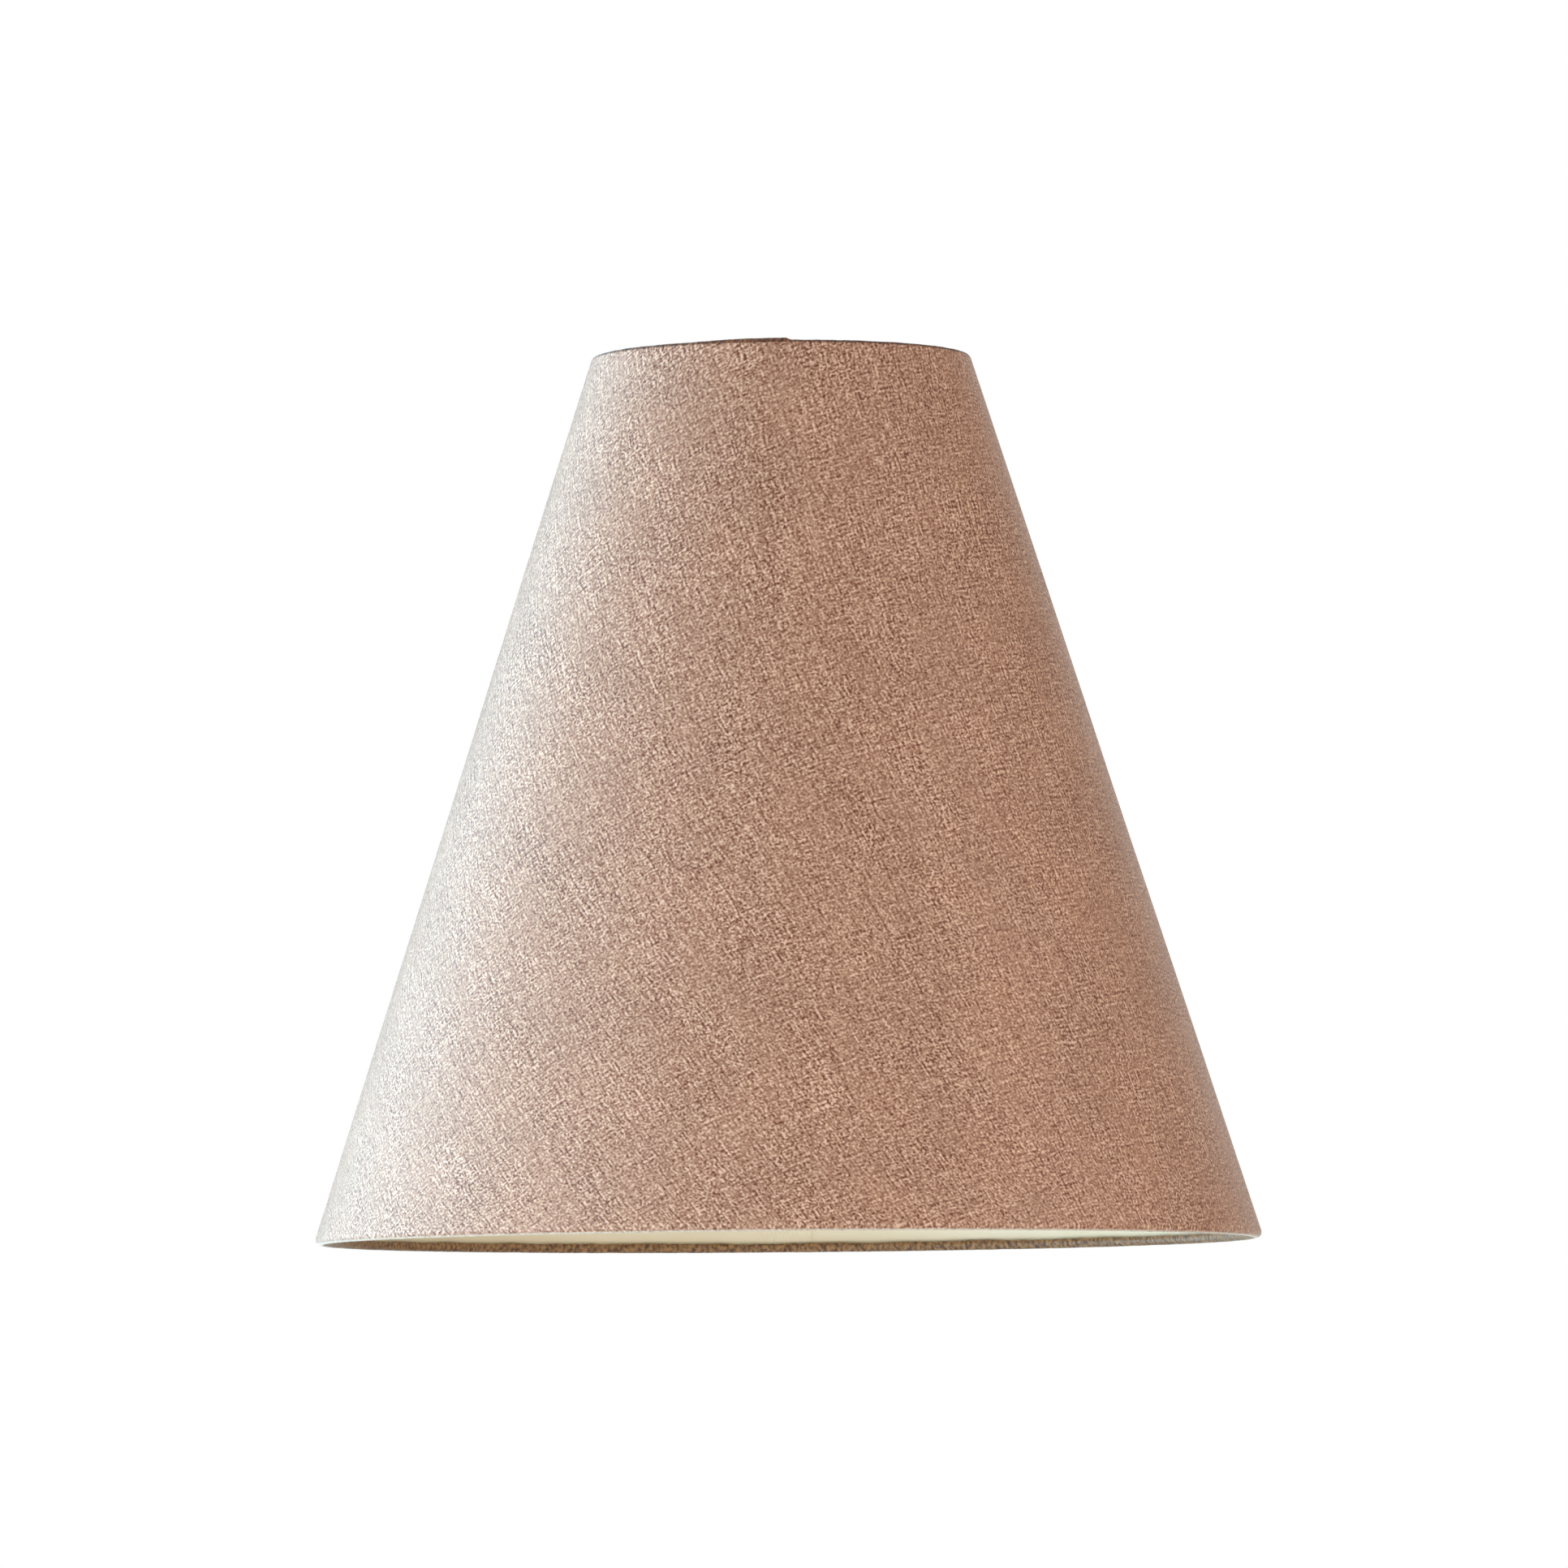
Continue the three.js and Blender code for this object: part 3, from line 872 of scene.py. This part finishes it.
def gimbal_arm(name, side):
    """A wire that lies on the ring, slants up to its rivet, and is bent round it in an open eye."""
    path = smooth_route([
        Vector((ARM_BOX[0].x + 0.0001, 0, ARM_FOOT)),
        Vector((RING_RIM - 0.0008, 0, ARM_FOOT)),
        Vector((RING_RIM + 0.0022, 0, ARM_FOOT + 0.0016)),
        Vector(((EYE_PLACE + RING_RIM) / 2, -0.0006, (PIVOT_HEIGHT + ARM_FOOT) / 2 - 0.0004)),
        Vector((EYE_PLACE - 0.0012, -0.0022, PIVOT_HEIGHT - 0.0056)),
        Vector((EYE_PLACE, -EYE_SIZE, PIVOT_HEIGHT - 0.0024)),
        Vector((EYE_PLACE, -EYE_SIZE, PIVOT_HEIGHT)),
    ])
    for step in range(1, EYE_STEPS + 1):
        turn = math.pi - EYE_BEND * step / EYE_STEPS
        across, up = EYE_SIZE * math.cos(turn), EYE_SIZE * math.sin(turn)
        path.append(Vector((EYE_PLACE, across, PIVOT_HEIGHT + up)))
    arm = bent_wire(name + "_wire", path, [ARM_WIRE / 2] * len(path), sides=20)
    place_at_side(arm, side)
    arm.data.materials.append(ENAMEL)
    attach(arm, "gimbal")
    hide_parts(name)


gimbal_arm("gimbal_arm_right", 1)
gimbal_arm("gimbal_arm_left", -1)


# ------------------------------------------------------------------------------------------------
# The reducer ring. A moulded white plastic washer that makes the ring fit a small lampholder. Its
# collar drops through the utility ring, and a shallow groove runs round the top of its flange.

REDUCER_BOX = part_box("reducer_ring")
REDUCER_HOLE = 0.0145
RING_CLEARANCE = 0.0003
FLANGE_LOW = RING_TOP + RING_CLEARANCE
FLANGE_TOP = REDUCER_BOX[1].z
FLANGE_RIM = REDUCER_BOX[1].x
COLLAR = RING_HOLE - RING_CLEARANCE
GROOVE_DEPTH = 0.0003
REDUCER_EDGE = 0.0002


def white_plastic():
    """Moulded white plastic: a fine spark-eroded grain and a faint flow mark or two."""
    w = Wiring("white_plastic")
    place = w.node("TexCoord").outputs["Object"]
    grain = w.grain(place, 3000.0, detail=2.0, roughness=0.6)
    flow = w.grain(place, 60.0, detail=2.0)
    w.feed(w.surface.inputs["Base Color"], w.blend(flow, (0.88, 0.87, 0.83, 1), (0.83, 0.82, 0.78, 1)))
    w.feed(w.surface.inputs["Roughness"], w.stretch(grain, 0.3, 0.7, 0.42, 0.58))
    w.settle(IOR=1.49)
    w.bump(grain, 0.15, 0.00006)
    return w.material


reducer_outline = rounded_outline([
    (REDUCER_HOLE, REDUCER_BOX[0].z),
    (COLLAR, REDUCER_BOX[0].z),
    (COLLAR, FLANGE_LOW),
    (FLANGE_RIM, FLANGE_LOW),
    (FLANGE_RIM, FLANGE_TOP),
    (FLANGE_RIM - 0.0022, FLANGE_TOP),
    (FLANGE_RIM - 0.0026, FLANGE_TOP - GROOVE_DEPTH),
    (FLANGE_RIM - 0.0032, FLANGE_TOP - GROOVE_DEPTH),
    (FLANGE_RIM - 0.0036, FLANGE_TOP),
    (REDUCER_HOLE, FLANGE_TOP),
], REDUCER_EDGE, steps=3)
reducer = turned("reducer_ring_moulding", reducer_outline, sides=96)
reducer.data.materials.append(white_plastic())
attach(reducer, "reducer")
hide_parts("reducer_ring")


# ------------------------------------------------------------------------------------------------
# The studio. The shade is held up over a pale floor in a white room. A big soft light and a cooler
# window stand at its left, a warmer fill at its right, and small ones low in front and behind.

def lamp(name, size, power, place, colour):
    """A square soft light that looks at the shade's middle and can't itself be seen."""
    light = bpy.data.lights.new(name, "AREA")
    light.size = size
    light.energy = power
    light.color = colour
    holder = bpy.data.objects.new(name, light)
    bpy.context.scene.collection.objects.link(holder)
    holder.location = place
    to_shade = Vector((0, 0, HEIGHT / 2)) - place
    holder.rotation_euler = to_shade.to_track_quat("-Z", "Y").to_euler()
    holder.visible_camera = False


def around_shade(azimuth, distance):
    """A place level with the shade's middle. Azimuth 0 is in front, and 90 is at its right."""
    turn = math.radians(azimuth)
    return Vector((distance * math.sin(turn), -distance * math.cos(turn), HEIGHT / 2))


lamp("left_softbox", 1.6, 25.8, around_shade(-62, 1.6), (0.84, 0.94, 1.0))
lamp("left_window", 1.8, 62.5, around_shade(-112, 1.6), (0.50, 0.82, 1.0))
lamp("back_fill", 1.4, 6.0, around_shade(170, 1.8), (1.0, 0.90, 0.80))
lamp("low_front", 0.8, 6.4, Vector((0, -1.35, -0.45)), (1.0, 0.93, 0.80))
lamp("right_fill", 1.4, 20.2, around_shade(64, 1.8), (1.0, 0.87, 0.77))

# The room's own light as (height, strength) pairs, from 0 straight below to 1 straight above: dim
# round about, and bright at the ceiling. It lights the shade, and the camera sees plain white.
ROOM_LIGHT = ((0.15, 0.14), (0.8, 0.03), (1.0, 1.0))
world = bpy.data.worlds.new("white_room")
bpy.context.scene.world = world
world.use_nodes = True
sky = world.node_tree
room = sky.nodes["Background"]
facing = sky.nodes.new("ShaderNodeTexCoord")
level = sky.nodes.new("ShaderNodeSeparateXYZ")
height_in_room = sky.nodes.new("ShaderNodeMapRange")
height_in_room.inputs["From Min"].default_value = -1.0
walls = sky.nodes.new("ShaderNodeValToRGB")
walls.color_ramp.elements.new(0.5)
for element, (level_up, strength) in zip(walls.color_ramp.elements, ROOM_LIGHT):
    element.position = level_up
    element.color = (strength, strength, strength, 1)
sky.links.new(facing.outputs["Generated"], level.inputs["Vector"])
sky.links.new(level.outputs["Z"], height_in_room.inputs["Value"])
sky.links.new(height_in_room.outputs["Result"], walls.inputs["Fac"])
sky.links.new(walls.outputs["Color"], room.inputs["Strength"])
room.inputs["Color"].default_value = (1, 1, 1, 1)
seen = sky.nodes.new("ShaderNodeBackground")
seen.inputs["Strength"].default_value = 1.0
seen.inputs["Color"].default_value = (1, 1, 1, 1)
ray = sky.nodes.new("ShaderNodeLightPath")
either = sky.nodes.new("ShaderNodeMixShader")
sky.links.new(ray.outputs["Is Camera Ray"], either.inputs[0])
sky.links.new(room.outputs[0], either.inputs[1])
sky.links.new(seen.outputs[0], either.inputs[2])
sky.links.new(either.outputs[0], sky.nodes["World Output"].inputs["Surface"])

bpy.context.scene.view_settings.view_transform = "Standard"

FLOOR_DROP = 0.75
FLOOR_REACH = 1.3
FLOOR_RINGS = 24
FLOOR_SIDES = 96
floor_rows = []
for ring in range(FLOOR_RINGS + 1):
    reach = FLOOR_REACH * ring / FLOOR_RINGS
    turns = [2 * math.pi * k / FLOOR_SIDES for k in range(FLOOR_SIDES)]
    floor_rows.append([(reach * math.cos(turn), reach * math.sin(turn), -FLOOR_DROP) for turn in turns])
floor = skin("studio_floor", floor_rows, round_closed=True)


def pale_floor():
    """Pale matt paper that thins out to nothing far from the shade, so that it has no edge."""
    w = Wiring("studio_floor")
    place = w.node("TexCoord").outputs["Object"]
    away = w.node("VectorMath", {0: place}, operation="LENGTH").outputs["Value"]
    w.settle(Roughness=0.9, Specular_IOR_Level=0.1)
    w.surface.inputs["Base Color"].default_value = (0.6, 0.6, 0.6, 1)
    w.feed(w.surface.inputs["Alpha"], w.stretch(away, 0.76, 1.45, 1.0, 0.0))
    return w.material


floor.data.materials.append(pale_floor())

CAMERA_PLACE = Vector((-0.0187, -3.375, -0.0786))
CAMERA_PITCH = 0.05904
CAMERA_YAW = 0.00549
CAMERA_ROLL = -0.00841
SENSOR_WIDTH = 36
LENS_LENGTH = 293.2
camera_data = bpy.data.cameras.new("camera")
camera_data.sensor_width = SENSOR_WIDTH
camera_data.lens = LENS_LENGTH
camera = bpy.data.objects.new("camera", camera_data)
bpy.context.scene.collection.objects.link(camera)
camera.matrix_world = (
    Matrix.Translation(CAMERA_PLACE)
    @ Matrix.Rotation(-CAMERA_YAW, 4, "Z")
    @ Matrix.Rotation(math.pi / 2 + CAMERA_PITCH, 4, "X")
    @ Matrix.Rotation(CAMERA_ROLL, 4, "Z")
)
bpy.context.scene.camera = camera
